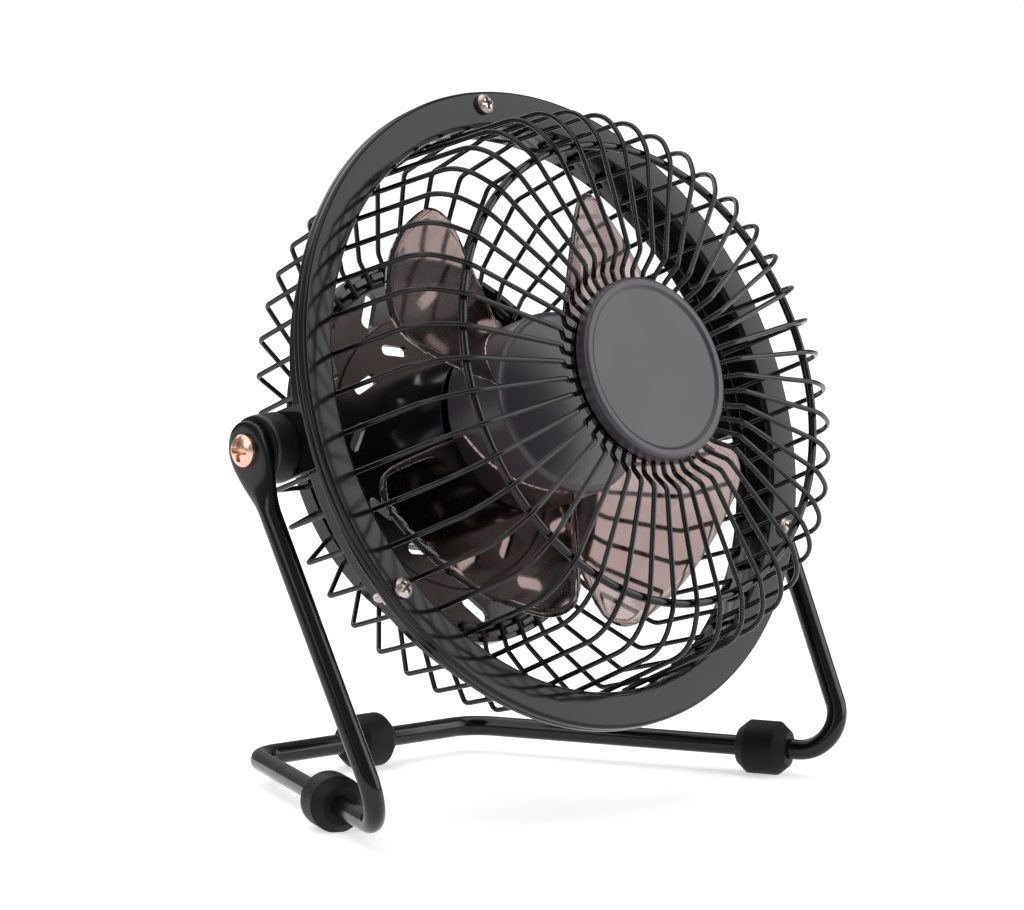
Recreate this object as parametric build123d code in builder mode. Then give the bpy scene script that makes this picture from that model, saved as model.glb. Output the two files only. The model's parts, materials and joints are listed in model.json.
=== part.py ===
from build123d import *
import os
from math import cos, radians, sin

# Four-inch desk fan. A wire cage holds the motor and the fan wheel, and tilts on two
# pivot screws in a stand bent from one steel rod with three rubber feet.
# Millimetres, +Z up, the fan looks towards -Y, origin on the floor under the middle of the fan.

os.makedirs("parts", exist_ok=True)

# ---------------------------------------------------------------- driving dimensions
TILT = 20.1             # the head leans back by this much at rest
FOOT_R = 6.0            # rubber foot
ROD_R = 2.25            # stand rod
ROD_Z = 5.8             # rod centre above the floor: each foot is pressed flat by 0.2
PIVOT_H = 73.8          # pivot axis above the rod's centre
PIVOT_Y = 4.6           # pivot axis behind the middle of the fan's box
EAR_X = 73.1            # middle of each flattened rod end
FRONT_X, FRONT_Y = 69.7, -38.5    # front corner of the base, from the pivot axis
REAR_X, REAR_Y = 32.7, 44.2       # rear corner of the base
FRONT_BEND, REAR_BEND = 8.0, 9.0

RING_R = 70.0           # outside of the cage's flange
RING_IN = 62.0          # inside of the flange
SHEET = 0.9             # sheet steel of both rings
FLANGE_W = 17.5         # flange face ahead of the pivot axis
SEAM_W = 15.7           # seam between the front and rear rings
SCREW_R = 66.9          # flange screws' circle
SCREW_ANGLE = -1.5      # clocking of the first flange screw from the top

WIRES = 46              # radial wires in each guard
WIRE_R = 0.55
FRONT_PHASE, REAR_PHASE = 1.4, -1.2    # each guard's first wire, in degrees from +X
RING_WIRE_R = 0.9
MID_R, MID_W = 49.5, 42.9         # front mid ring
CAP_R, CAP_W = 19.7, 47.0         # front cap
COVER_R, COVER_W = 43.0, -20.5    # vented rear cover, front face

BLADES = 4
BLADE_R = 50.0
HUB_R = 20.0
HUB_REAR, HUB_FRONT = 3.5, 21.0
SHAFT_R = 1.0
DRUM_R = 18.7           # motor housing
HOUSING_R = 19.0        # switch housing
HOUSING_W = -34.0       # its rear face
POST_R = 15.3           # circle of the housing screws

# ---------------------------------------------------------------- planes of the head
PIVOT_Z = ROD_Z + PIVOT_H
t = radians(TILT)
HEAD = Plane(origin=(0, PIVOT_Y, PIVOT_Z), x_dir=(1, 0, 0), z_dir=(0, -cos(t), sin(t)))
PROFILE = Plane(origin=HEAD.origin, x_dir=HEAD.x_dir, z_dir=-HEAD.y_dir)    # x = radius, y = along axis
FAN_AXIS = Axis(HEAD.origin, HEAD.z_dir)


def keep(piece, name):
    """Label a finished piece and write its STEP file."""
    piece.part.label = name
    export_step(piece.part, f"parts/{name}.step")


def head_point(x, up, w):
    """A point of the head from its across, up and forward places."""
    return HEAD.from_local_coords(Vector(x, up, w))


def on_circle(radius, angles):
    """Points on a circle about the fan axis, in the plane of the ring."""
    return [(radius * cos(radians(a)), radius * sin(radians(a))) for a in angles]


def band(r0, r1, w0, w1):
    """A rectangle in the open sketch between two radii and two places on the axis."""
    with Locations(((r0 + r1) / 2, (w0 + w1) / 2)):
        Rectangle(r1 - r0, w1 - w0)


def turned(*bands):
    """A piece turned about the fan axis from rectangular bands."""
    with BuildPart() as piece:
        with BuildSketch(PROFILE):
            for b in bands:
                band(*b)
        revolve(axis=FAN_AXIS)
    return piece


def wire_ring(radius, w, wire_r):
    """A closed ring of round wire about the fan axis."""
    with BuildPart() as ring:
        with BuildSketch(PROFILE):
            with Locations((radius, w)):
                Circle(wire_r)
        revolve(axis=FAN_AXIS)
    return ring


def guard(corners, bends, first_angle):
    """All the radial wires of one guard, from one wire bent in the profile plane."""
    with BuildPart() as wire:
        with BuildLine(PROFILE) as path:
            FilletPolyline(*corners, radius=bends)
        with BuildSketch(Plane(origin=path.line @ 0, z_dir=path.line % 0)):
            Circle(WIRE_R)
        sweep()
    pitch = 360 / WIRES
    with BuildPart() as wires:
        add([wire.part.rotate(FAN_AXIS, first_angle + pitch * i) for i in range(WIRES)])
    return wires


# ---------------------------------------------------------------- stand
pivot = Vector(0, PIVOT_Y, PIVOT_Z)
down = Vector(0, FRONT_Y, -PIVOT_H).normalized()    # along the uprights, from the pivot to the floor
EAR_R, EAR_T = 6.0, 2.2     # flattened end of the rod
EAR_RUN = 14.0              # from the pivot to where the rod is round again
PIVOT_HOLE = 1.80


def base_corner(x, y):
    return Vector(x, PIVOT_Y + y, ROD_Z)


def ear_point(side, along):
    return pivot + Vector(side * EAR_X, 0, 0) + down * along


with BuildPart() as stand_rod:
    with BuildLine() as rod_path:
        FilletPolyline(
            ear_point(-1, EAR_RUN), base_corner(-FRONT_X, FRONT_Y), base_corner(-REAR_X, REAR_Y),
            base_corner(REAR_X, REAR_Y), base_corner(FRONT_X, FRONT_Y), ear_point(1, EAR_RUN),
            radius=[FRONT_BEND, REAR_BEND, REAR_BEND, FRONT_BEND],
        )
    with BuildSketch(Plane(origin=rod_path.line @ 0, z_dir=rod_path.line % 0)):
        Circle(ROD_R)
    sweep()
    for side in (-1, 1):
        flat_end = Plane(origin=ear_point(side, EAR_RUN / 2), x_dir=(1, 0, 0), z_dir=down)
        round_end = Plane(origin=ear_point(side, EAR_RUN), x_dir=(1, 0, 0), z_dir=down)
        with BuildSketch(flat_end):
            Ellipse(EAR_T / 2, EAR_R - 1.2)
        with BuildSketch(round_end):
            Circle(ROD_R)
        loft()
        ear_plane = Plane(origin=ear_point(side, 0), x_dir=down, z_dir=(1, 0, 0))
        with BuildSketch(ear_plane):
            Circle(EAR_R)
            with BuildLine():
                Polyline((0, -EAR_R), (EAR_RUN / 2, 1.2 - EAR_R), (EAR_RUN / 2, EAR_R - 1.2), (0, EAR_R),
                         close=True)
            make_face()
        extrude(amount=EAR_T / 2, both=True)
        with BuildSketch(ear_plane):
            Circle(PIVOT_HOLE)
        extrude(amount=EAR_T, both=True, mode=Mode.SUBTRACT)
keep(stand_rod, "stand_rod")

FOOT_L = 11.6
FOOT_END_R = 4.0            # radius at the foot's chamfered ends
FOOT_CHAMFER = 2.4
rail = Vector(REAR_X - FRONT_X, REAR_Y - FRONT_Y, 0).normalized()    # right rail, front to rear
left_rail = Vector(-rail.X, rail.Y, 0)
feet = {
    "foot_front_left": (base_corner(-FRONT_X, FRONT_Y) + left_rail * 35.4, left_rail),
    "foot_front_right": (base_corner(FRONT_X, FRONT_Y) + rail * 20.2, rail),
    "foot_rear": (base_corner(0, REAR_Y), Vector(1, 0, 0)),
}
for name, (centre, along) in feet.items():
    section = Plane(origin=centre, x_dir=(0, 0, 1), z_dir=(along.Y, -along.X, 0))
    with BuildPart() as foot:
        with BuildSketch(section):
            with BuildLine():
                Polyline(
                    (ROD_R, -FOOT_L / 2), (FOOT_END_R, -FOOT_L / 2), (FOOT_R, FOOT_CHAMFER - FOOT_L / 2),
                    (FOOT_R, FOOT_L / 2 - FOOT_CHAMFER), (FOOT_END_R, FOOT_L / 2), (ROD_R, FOOT_L / 2),
                    close=True,
                )
            make_face()
        revolve(axis=Axis(centre, along))
        split(bisect_by=Plane.XY, keep=Keep.TOP)
    keep(foot, name)

# ---------------------------------------------------------------- cage rings
FRONT_WALL_W = 9.5      # rear edge of the front ring's inner wall
REAR_WALL_W = 5.0       # rear edge of the rear ring's inner wall
REAR_IN = RING_IN + SHEET + 0.1
SCREW_HOLE = 1.35
screw_angles = [90 - SCREW_ANGLE - 120 * i for i in range(3)]


with BuildPart() as front_ring:
    with BuildSketch(PROFILE):
        band(RING_IN, RING_R, FLANGE_W - SHEET, FLANGE_W)
        band(RING_R - SHEET, RING_R, SEAM_W, FLANGE_W)
        band(RING_IN, RING_IN + SHEET, FRONT_WALL_W, FLANGE_W)
    revolve(axis=FAN_AXIS)
    with BuildSketch(HEAD):
        with Locations(*on_circle(SCREW_R, screw_angles)):
            Circle(SCREW_HOLE)
    extrude(amount=FLANGE_W + 1, mode=Mode.SUBTRACT)
keep(front_ring, "front_ring")

with BuildPart() as rear_ring:
    with BuildSketch(PROFILE):
        band(REAR_IN, RING_R, SEAM_W - SHEET, SEAM_W)
        band(RING_R - SHEET, RING_R, SEAM_W - 1.6, SEAM_W)
        band(REAR_IN, REAR_IN + SHEET, REAR_WALL_W, SEAM_W)
    revolve(axis=FAN_AXIS)
    with BuildSketch(HEAD):
        with Locations(*on_circle(SCREW_R, screw_angles)):
            Circle(SCREW_HOLE)
    extrude(amount=FLANGE_W + 1, mode=Mode.SUBTRACT)
keep(rear_ring, "rear_ring")

HEAD_R, HEAD_H = 2.2, 1.6       # flange screw head
NUT_FLATS, NUT_H = 4.3, 2.0
SHANK_R = 1.25


def flange_station(angle, w):
    """The plane of one flange screw, square to the fan axis."""
    a = radians(angle)
    return Plane(origin=head_point(SCREW_R * cos(a), SCREW_R * sin(a), w), z_dir=HEAD.z_dir,
                 x_dir=HEAD.x_dir * cos(a) + HEAD.y_dir * sin(a))


with BuildPart() as flange_screws:
    for a in screw_angles:
        with BuildSketch(flange_station(a, FLANGE_W)):
            Circle(HEAD_R)
        extrude(amount=HEAD_H)
        with BuildSketch(flange_station(a, FLANGE_W + HEAD_H)):
            Rectangle(2.6, 0.6)
            Rectangle(0.6, 2.6)
        extrude(amount=-0.9, mode=Mode.SUBTRACT)
        with BuildSketch(flange_station(a, FLANGE_W)):
            Circle(SHANK_R)
        extrude(amount=-8.0)
keep(flange_screws, "flange_screws")

with BuildPart() as flange_nuts:
    for a in screw_angles:
        with BuildSketch(flange_station(a, SEAM_W - SHEET)):
            RegularPolygon(NUT_FLATS / 2, 6, major_radius=False, rotation=30)
            Circle(SHANK_R, mode=Mode.SUBTRACT)
        extrude(amount=-NUT_H)
keep(flange_nuts, "flange_nuts")

# ---------------------------------------------------------------- front guard
SHOULDER_R, SHOULDER_W = 58.9, 39.9
CROSS_R, CROSS_W = MID_R + 0.6, MID_W + 1.71     # corner of the radial wires over the mid ring
HUB_WIRE_W = 43.0                               # radial wires where they lie under the cap
front_guard_wires = guard(
    [(RING_IN - WIRE_R, FRONT_WALL_W + 0.5), (SHOULDER_R, SHOULDER_W), (CROSS_R, CROSS_W), (26.0, 46.2),
     (22.3, HUB_WIRE_W), (15.5, HUB_WIRE_W)],
    [10.0, 12.0, 2.5, 2.0], FRONT_PHASE,
)
keep(front_guard_wires, "front_guard_wires")

front_mid_ring = wire_ring(MID_R, MID_W, RING_WIRE_R)
keep(front_mid_ring, "front_mid_ring")

PLATE_T = 1.0
plate_top = HUB_WIRE_W - WIRE_R
front_hub_plate = turned((1.1, 19.0, plate_top - PLATE_T, plate_top))
keep(front_hub_plate, "front_hub_plate")

with BuildPart() as front_cap:
    rim_w = HUB_WIRE_W + WIRE_R + 0.2
    face_w = CAP_W - 0.5
    with BuildSketch(PROFILE):
        with BuildLine():
            Line((0, plate_top + 2.6), (1.0, plate_top + 2.6))
            Line((1.0, plate_top + 2.6), (1.0, plate_top))
            Line((1.0, plate_top), (3.2, plate_top))
            Line((3.2, plate_top), (3.2, face_w - 1.2))
            Line((3.2, face_w - 1.2), (CAP_R - 1.2, face_w - 1.2))
            Line((CAP_R - 1.2, face_w - 1.2), (CAP_R - 1.2, rim_w))
            Line((CAP_R - 1.2, rim_w), (CAP_R, rim_w))
            Line((CAP_R, rim_w), (CAP_R, CAP_W - 1.3))
            RadiusArc((CAP_R, CAP_W - 1.3), (CAP_R - 1.3, CAP_W), -1.3)
            Line((CAP_R - 1.3, CAP_W), (CAP_R - 1.7, CAP_W))
            Line((CAP_R - 1.7, CAP_W), (CAP_R - 2.4, face_w))
            Line((CAP_R - 2.4, face_w), (0, face_w))
            Line((0, face_w), (0, plate_top + 2.6))
        make_face()
    revolve(axis=FAN_AXIS)
keep(front_cap, "front_cap")

cap_screw = turned((0, 2.2, plate_top - PLATE_T - 1.4, plate_top - PLATE_T),
                   (0, 0.98, plate_top - PLATE_T - 0.5, plate_top + 2.4))
keep(cap_screw, "cap_screw")

# ---------------------------------------------------------------- rear guard and cover
COVER_T = 1.5
LIP_W = COVER_W + 2.0
REAR_WIRE_W = LIP_W + WIRE_R
rear_guard_wires = guard(
    [(REAR_IN - WIRE_R, FRONT_WALL_W - 1.0), (60.4, -9.8), (45.5, REAR_WIRE_W), (38.8, REAR_WIRE_W)],
    [2.5, 3.0], REAR_PHASE,
)
keep(rear_guard_wires, "rear_guard_wires")

rear_hub_ring = wire_ring(39.5, LIP_W - RING_WIRE_R, RING_WIRE_R)
keep(rear_hub_ring, "rear_hub_ring")

HALF_ROW = 6            # slots in the upper and in the lower half of each row
SLOT_PITCH = 30
OUTER_SLOT = (34.9, 8.2, 3.0)       # circle, length and width of the outer row
INNER_SLOT = (24.6, 7.4, 2.4)
POST_ANGLES = (90, 210, 330)


def half_row(radius, length, width, skew, first_angle):
    """Round-ended slots on half a circle, each turned from the radial line by the skew, in the open sketch."""
    for i in range(HALF_ROW):
        a = first_angle + SLOT_PITCH * i
        with Locations(Location((radius * cos(radians(a)), radius * sin(radians(a)), 0), (0, 0, a + skew))):
            SlotOverall(length, width)


with BuildPart() as rear_cover:
    with BuildSketch(PROFILE):
        band(5.0, COVER_R, COVER_W - COVER_T, COVER_W)
        band(COVER_R - 1.2, COVER_R, COVER_W - COVER_T, LIP_W)
        band(29.2, 30.8, COVER_W, COVER_W + 0.6)
    revolve(axis=FAN_AXIS)
    with BuildSketch(HEAD.offset(COVER_W + 2)):
        half_row(*OUTER_SLOT, -49, 21)
        half_row(*OUTER_SLOT, 49, -153)
        half_row(*INNER_SLOT, 64, 18)
        half_row(*INNER_SLOT, -64, -153)
        with Locations(*on_circle(POST_R, POST_ANGLES)):
            Circle(1.2)
    extrude(amount=-6, mode=Mode.SUBTRACT)
keep(rear_cover, "rear_cover")

# ---------------------------------------------------------------- pivots
BRACKET_X, BRACKET_T = 64.1, 1.6        # inner face and thickness of the bracket plate
BOSS_R = 7.1
WASHER_T = 0.6
boss_x = BRACKET_X + BRACKET_T
washer_x = EAR_X - EAR_T / 2 - WASHER_T
PIVOT_SHANK = 1.75


def across(side, x):
    """The plane square to the pivot axis at a distance out to one side, facing outwards."""
    return Plane(origin=pivot + Vector(side * x, 0, 0), x_dir=(0, 1, 0), z_dir=(side, 0, 0))


for side, hand in ((-1, "left"), (1, "right")):
    with BuildPart() as pivot_bracket:
        plate = Plane(origin=pivot + Vector(side * BRACKET_X, 0, 0), z_dir=(side, 0, 0),
                      x_dir=-HEAD.z_dir * side)
        with BuildSketch(plate):
            Circle(BOSS_R)
            with Locations((-side * (SEAM_W - SHEET) / 2, 0)):
                Rectangle(SEAM_W - SHEET, 2 * BOSS_R)
        extrude(amount=BRACKET_T)
    keep(pivot_bracket, f"pivot_bracket_{hand}")

    with BuildPart() as pivot_boss:
        with BuildSketch(across(side, boss_x)):
            Circle(BOSS_R + 0.3)
        with BuildSketch(across(side, washer_x)):
            Circle(BOSS_R)
        loft()
        with BuildSketch(across(side, boss_x + 0.8)):
            Circle(PIVOT_SHANK)
        extrude(amount=washer_x - boss_x, mode=Mode.SUBTRACT)
    keep(pivot_boss, f"pivot_boss_{hand}")

    with BuildPart() as friction_washer:
        with BuildSketch(across(side, washer_x)):
            Circle(BOSS_R - 0.2)
            Circle(PIVOT_HOLE + 0.1, mode=Mode.SUBTRACT)
        extrude(amount=WASHER_T - 0.02)
    keep(friction_washer, f"friction_washer_{hand}")

    with BuildPart() as pivot_screw:
        head_x = EAR_X + EAR_T / 2 + 0.02
        with BuildSketch(across(side, head_x)):
            Circle(3.4)
        with BuildSketch(across(side, head_x + 2.2)):
            Circle(2.7)
        loft()
        with BuildSketch(across(side, head_x + 2.2)):
            Rectangle(4.0, 0.9)
            Rectangle(0.9, 4.0)
        extrude(amount=-1.3, mode=Mode.SUBTRACT)
        with BuildSketch(across(side, boss_x + 1.0)):
            Circle(PIVOT_SHANK - 0.01)
        extrude(amount=head_x - boss_x - 1.0)
    keep(pivot_screw, f"pivot_screw_{hand}")

# ---------------------------------------------------------------- fan wheel
BLADE_T = 1.2
HUB_WALL = 1.6
INSERT_R = 2.6
# Each blade section lies across the blade's middle line: distance out, half width, rear edge,
# front edge and camber.
blade_sections = [
    (HUB_R - 0.8, 13.0, 6.0, 19.5, 1.0),
    (34.0, 21.0, 5.6, 21.6, 2.2),
    (BLADE_R + 1.0, 28.5, 6.6, 23.4, 3.2),
]
BLADE_ROOT, BLADE_TIP = 12.8, 28.3      # half widths of the blade's outline at the hub and beyond the tip
BLADE_CORNER = 8.0


with BuildPart() as blade:
    for out, half, rear, front, camber in blade_sections:
        with BuildSketch(Plane(origin=head_point(0, out, 0), x_dir=HEAD.x_dir, z_dir=-HEAD.y_dir)):
            mid = (rear + front) / 2 - camber
            with BuildLine():
                lower = ThreePointArc((half, rear), (0, mid), (-half, front))
                upper = ThreePointArc((half, rear + BLADE_T), (0, mid + BLADE_T), (-half, front + BLADE_T))
                Line(lower @ 0, upper @ 0)
                Line(lower @ 1, upper @ 1)
            make_face()
    loft()
    with BuildSketch(HEAD) as outline:
        with BuildLine():
            Polyline((-BLADE_ROOT, HUB_R - 2), (-BLADE_TIP, BLADE_R + 1), (BLADE_TIP, BLADE_R + 1),
                     (BLADE_ROOT, HUB_R - 2), close=True)
        make_face()
        Circle(BLADE_R, mode=Mode.INTERSECT)
        fillet(outline.vertices().sort_by(Axis.Y)[-2:], BLADE_CORNER)
    extrude(amount=40, mode=Mode.INTERSECT)
    with BuildSketch(HEAD):
        Circle(HUB_R - 0.5)
    extrude(amount=40, mode=Mode.SUBTRACT)

with BuildPart() as fan_wheel:
    with BuildSketch(PROFILE):
        band(HUB_R - HUB_WALL, HUB_R, HUB_REAR, HUB_FRONT)
        band(0, HUB_R, HUB_FRONT - 2.0, HUB_FRONT)
        band(INSERT_R, INSERT_R + 1.6, 5.0, HUB_FRONT - 1.0)
    revolve(axis=FAN_AXIS)
    fillet(fan_wheel.edges().filter_by(GeomType.CIRCLE).sort_by(FAN_AXIS)[-1], 1.8)
    add([blade.part.rotate(FAN_AXIS, 41.5 + 360 / BLADES * i) for i in range(BLADES)])
    with BuildSketch(HEAD.offset(14.0)):
        for i in range(8):
            a = 22.5 + 45 * i
            with Locations(Location((11.0 * cos(radians(a)), 11.0 * sin(radians(a)), 0), (0, 0, a))):
                Rectangle(15.4, 1.0)
    extrude(amount=5.5)
keep(fan_wheel, "fan_wheel")

hub_insert = turned((SHAFT_R, INSERT_R, 5.0, 18.5))
keep(hub_insert, "hub_insert")

# ---------------------------------------------------------------- motor
CAN_R = 12.0
CAN_REAR, CAN_FRONT = -18.5, -2.0
CAN_WALL = 0.8
BUSH_BORE = SHAFT_R + 0.04

motor_shaft = turned((0, SHAFT_R, -18.2, 18.0))
keep(motor_shaft, "motor_shaft")

with BuildPart() as motor_housing:
    with BuildSketch(PROFILE):
        band(DRUM_R - 1.2, DRUM_R, COVER_W, 0)
        band(3.8, DRUM_R, -1.2, 0)
    revolve(axis=FAN_AXIS)
    with BuildSketch(HEAD.offset(COVER_W)):
        with Locations(*on_circle(POST_R, POST_ANGLES)):
            Circle(2.4)
            Circle(1.0, mode=Mode.SUBTRACT)
    extrude(amount=9.0)
keep(motor_housing, "motor_housing")

motor_can = turned((CAN_R - CAN_WALL, CAN_R, CAN_REAR, CAN_FRONT),
                   (3.0, CAN_R, CAN_FRONT - CAN_WALL, CAN_FRONT))
keep(motor_can, "motor_can")

front_bush = turned((BUSH_BORE, 3.0, -4.4, -1.2))
keep(front_bush, "front_bush")

motor_end_cap = turned((2.2, CAN_R - CAN_WALL, CAN_REAR, CAN_REAR + 2.2))
keep(motor_end_cap, "motor_end_cap")

rear_bush = turned((BUSH_BORE, 2.2, CAN_REAR, CAN_REAR + 2.2))
keep(rear_bush, "rear_bush")

with BuildPart() as motor_magnets:
    with BuildSketch(PROFILE):
        band(9.5, CAN_R - CAN_WALL, -13.0, -4.0)
    revolve(axis=FAN_AXIS)
    with BuildSketch(HEAD.offset(-14)):
        Rectangle(30, 7)
    extrude(amount=12, mode=Mode.SUBTRACT)
keep(motor_magnets, "motor_magnets")

CORE_R = 8.9
with BuildPart() as armature_core:
    with BuildSketch(PROFILE):
        band(SHAFT_R, CORE_R, -12.0, -5.0)
    revolve(axis=FAN_AXIS)
    with BuildSketch(HEAD.offset(-12.0)):
        for i in range(3):
            a = 30 + 120 * i
            with Locations(Location((6.8 * cos(radians(a)), 6.8 * sin(radians(a)), 0), (0, 0, a))):
                Rectangle(5.2, 1.6)
                with Locations((-1.4, 0)):
                    Circle(1.8)
    extrude(amount=7.0, mode=Mode.SUBTRACT)
keep(armature_core, "armature_core")

with BuildPart() as armature_windings:
    with BuildSketch(PROFILE):
        band(3.0, 7.8, -13.0, -12.0)
        band(3.0, 7.8, -5.0, -4.5)
    revolve(axis=FAN_AXIS)
    with BuildSketch(HEAD.offset(-12.0)):
        for i in range(3):
            a = 30 + 120 * i
            with Locations((5.4 * cos(radians(a)), 5.4 * sin(radians(a)))):
                Circle(1.7)
    extrude(amount=7.0)
keep(armature_windings, "armature_windings")

commutator = turned((SHAFT_R, 2.8, -16.0, -13.2))
keep(commutator, "commutator")

with BuildPart() as motor_brushes:
    with BuildSketch(HEAD.offset(CAN_REAR + 2.2)):
        with Locations((3.8, 0), (-3.8, 0)):
            Rectangle(1.8, 2.0)
    extrude(amount=2.6)
keep(motor_brushes, "motor_brushes")

# ---------------------------------------------------------------- switch housing
SWITCH_V = 6.0          # rocker switch above the axis
INLET_V = -9.2          # power inlet below the axis
HOUSING_WALL = 1.3
housing_front = COVER_W - COVER_T

with BuildPart() as switch_housing:
    with BuildSketch(PROFILE):
        band(HOUSING_R - HOUSING_WALL, HOUSING_R, HOUSING_W, housing_front)
        band(0, HOUSING_R, HOUSING_W, HOUSING_W + HOUSING_WALL)
    revolve(axis=FAN_AXIS)
    fillet(switch_housing.edges().filter_by(GeomType.CIRCLE).sort_by(FAN_AXIS)[0], 1.2)
    with BuildSketch(HEAD.offset(HOUSING_W)):
        with Locations(*on_circle(POST_R, POST_ANGLES)):
            Circle(2.3)
    extrude(amount=housing_front - HOUSING_W)
    with BuildSketch(HEAD.offset(HOUSING_W - 1)):
        with Locations((0, SWITCH_V)):
            Rectangle(13.2, 8.6)
        with Locations((0, INLET_V)):
            Rectangle(7.9, 4.2)
    extrude(amount=HOUSING_WALL + 1, mode=Mode.SUBTRACT)
    with BuildSketch(HEAD.offset(HOUSING_W - 1)):
        with Locations(*on_circle(POST_R, POST_ANGLES)):
            Circle(1.05)
    extrude(amount=housing_front - HOUSING_W + 2, mode=Mode.SUBTRACT)
keep(switch_housing, "switch_housing")

with BuildPart() as housing_screws:
    for a in POST_ANGLES:
        centre = head_point(POST_R * cos(radians(a)), POST_R * sin(radians(a)), HOUSING_W)
        station = Plane(origin=centre, x_dir=HEAD.x_dir, z_dir=HEAD.z_dir)
        with BuildSketch(station):
            Circle(1.9)
        extrude(amount=-1.2)
        with BuildSketch(station.offset(-1.2)):
            Rectangle(2.2, 0.5)
            Rectangle(0.5, 2.2)
        extrude(amount=0.7, mode=Mode.SUBTRACT)
        with BuildSketch(station):
            Circle(0.98)
        extrude(amount=20.0)
keep(housing_screws, "housing_screws")

# ---------------------------------------------------------------- rocker switch
ROCKER_W = HOUSING_W + 1.4      # rocker's trunnion axis
ROCKER_HALF = 4.9
ROCKER_TILT = 9.0               # off position, each way from level
TRUNNION_R = 0.75
switch_plane = HEAD.offset(HOUSING_W)

with BuildPart() as switch_body:
    with BuildSketch(switch_plane):
        with Locations((0, SWITCH_V)):
            RectangleRounded(15.0, 10.2, 1.0)
    extrude(amount=-1.0)
    with BuildSketch(switch_plane):
        with Locations((0, SWITCH_V)):
            Rectangle(13.0, 8.4)
    extrude(amount=7.5)
    with BuildSketch(switch_plane.offset(-1.0)):
        with Locations((0, SWITCH_V)):
            Rectangle(11.2, 6.4)
    extrude(amount=5.5, mode=Mode.SUBTRACT)
    with BuildSketch(Plane(origin=head_point(0, SWITCH_V, ROCKER_W), x_dir=HEAD.x_dir, z_dir=HEAD.y_dir)):
        Circle(TRUNNION_R + 0.05)
    extrude(amount=3.9, both=True, mode=Mode.SUBTRACT)
keep(switch_body, "switch_body")

with BuildPart() as switch_rocker:
    off = radians(ROCKER_TILT)
    rocker_plane = Plane(origin=head_point(0, SWITCH_V, ROCKER_W), z_dir=HEAD.y_dir,
                         x_dir=HEAD.x_dir * cos(off) - HEAD.z_dir * sin(off))
    with BuildSketch(rocker_plane):
        with BuildLine():
            Polyline((-ROCKER_HALF, 3.0), (0, 2.0), (ROCKER_HALF, 3.0), (ROCKER_HALF - 0.2, 0.6),
                     (1.5, -1.4), (-1.5, -1.4), (0.2 - ROCKER_HALF, 0.6), close=True)
        make_face()
    extrude(amount=2.9, both=True)
    with BuildSketch(rocker_plane):
        Circle(TRUNNION_R)
    extrude(amount=3.7, both=True)
keep(switch_rocker, "switch_rocker")

TERMINAL_X = 4.6
switch_front = HOUSING_W + 7.5
with BuildPart() as switch_terminals:
    with BuildSketch(HEAD.offset(switch_front)):
        with Locations((TERMINAL_X, SWITCH_V), (-TERMINAL_X, SWITCH_V)):
            Rectangle(0.6, 2.8)
    extrude(amount=2.5)
keep(switch_terminals, "switch_terminals")

# ---------------------------------------------------------------- power inlet and board
INLET_FRONT = -25.5
with BuildPart() as inlet_shell:
    with BuildSketch(HEAD.offset(HOUSING_W - 0.4)):
        with Locations((0, INLET_V)):
            RectangleRounded(7.6, 3.9, 0.6)
            RectangleRounded(6.9, 3.2, 0.4, mode=Mode.SUBTRACT)
    extrude(amount=INLET_FRONT - HOUSING_W + 0.4)
keep(inlet_shell, "inlet_shell")

with BuildPart() as inlet_core:
    with BuildSketch(HEAD.offset(INLET_FRONT - 2.0)):
        with Locations((0, INLET_V)):
            Rectangle(6.7, 3.0)
    extrude(amount=2.0)
    with BuildSketch(HEAD.offset(HOUSING_W + 0.8)):
        with Locations((0, INLET_V)):
            Rectangle(4.6, 0.9)
    extrude(amount=INLET_FRONT - 2.0 - HOUSING_W - 0.8)
keep(inlet_core, "inlet_core")

BOARD_V = INLET_V - 3.9 / 2 - 0.05
BOARD_END = -25.5
with BuildPart() as circuit_board:
    with BuildSketch(HEAD.offset(HOUSING_W + HOUSING_WALL + 0.2)):
        with Locations((0, BOARD_V - 0.5)):
            Rectangle(12.0, 1.0)
    extrude(amount=BOARD_END - HOUSING_W - HOUSING_WALL - 0.2)
keep(circuit_board, "circuit_board")

# Three short leads: motor to switch, motor to board, and board to switch.
LEAD_R = 0.6
CROSSING_W = -22.9
terminal_end = switch_front + 2.5
pad_v = BOARD_V - 0.5
lead_routes = {
    "lead_red": ((-3.0, 0, CAN_REAR), (-3.0, 0, CROSSING_W), (-TERMINAL_X, SWITCH_V, CROSSING_W - 0.1),
                 (-TERMINAL_X, SWITCH_V, terminal_end)),
    "lead_black": ((3.0, 0, CAN_REAR), (3.0, 0, CROSSING_W), (2.0, pad_v, CROSSING_W - 0.5),
                   (2.0, pad_v, BOARD_END)),
    "lead_link": ((TERMINAL_X, SWITCH_V, terminal_end), (TERMINAL_X, SWITCH_V, CROSSING_W - 0.1),
                  (5.0, pad_v, CROSSING_W - 0.5), (5.0, pad_v, BOARD_END)),
}
for name, route in lead_routes.items():
    with BuildPart() as lead:
        with BuildLine() as route_line:
            Polyline(*[head_point(*p) for p in route])
        with BuildSketch(Plane(origin=route_line.line @ 0, z_dir=route_line.line % 0)):
            Circle(LEAD_R)
        sweep(transition=Transition.ROUND)
    keep(lead, name)
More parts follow.
